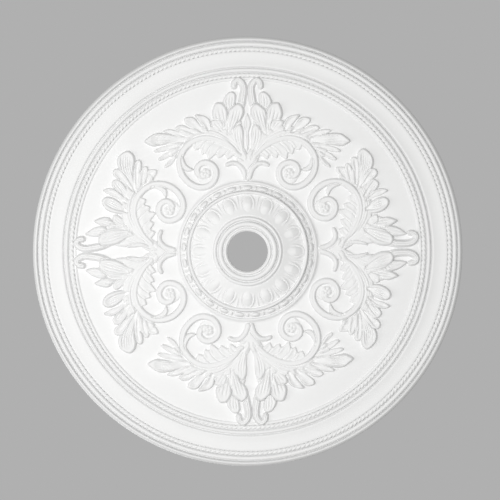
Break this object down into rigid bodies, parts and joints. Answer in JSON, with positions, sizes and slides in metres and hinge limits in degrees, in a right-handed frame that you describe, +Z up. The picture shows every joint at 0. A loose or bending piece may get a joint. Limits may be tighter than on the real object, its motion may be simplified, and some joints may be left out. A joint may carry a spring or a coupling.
{
  "type": "ceiling rose",
  "caption": "Large round ceiling rose with rope and step mouldings, four acanthus palmettes with scrolls, and an egg-ringed hub round a lamp hole.",
  "frame": {"origin": "on the flat back, which lies on the ceiling, at the axis of the lamp hole", "axes": "+Z up out of the back into the ceiling, the carved face looks down along -Z; one palmette points along each of +X, -X, +Y and -Y"},
  "size_m": [1.0678, 1.0678, 0.062],
  "materials": {
    "casting": "white primed moulded polyurethane foam, matt"
  },
  "bodies": {
    "root": {"ceiling_rose": "casting"}
  },
  "joints": []
}
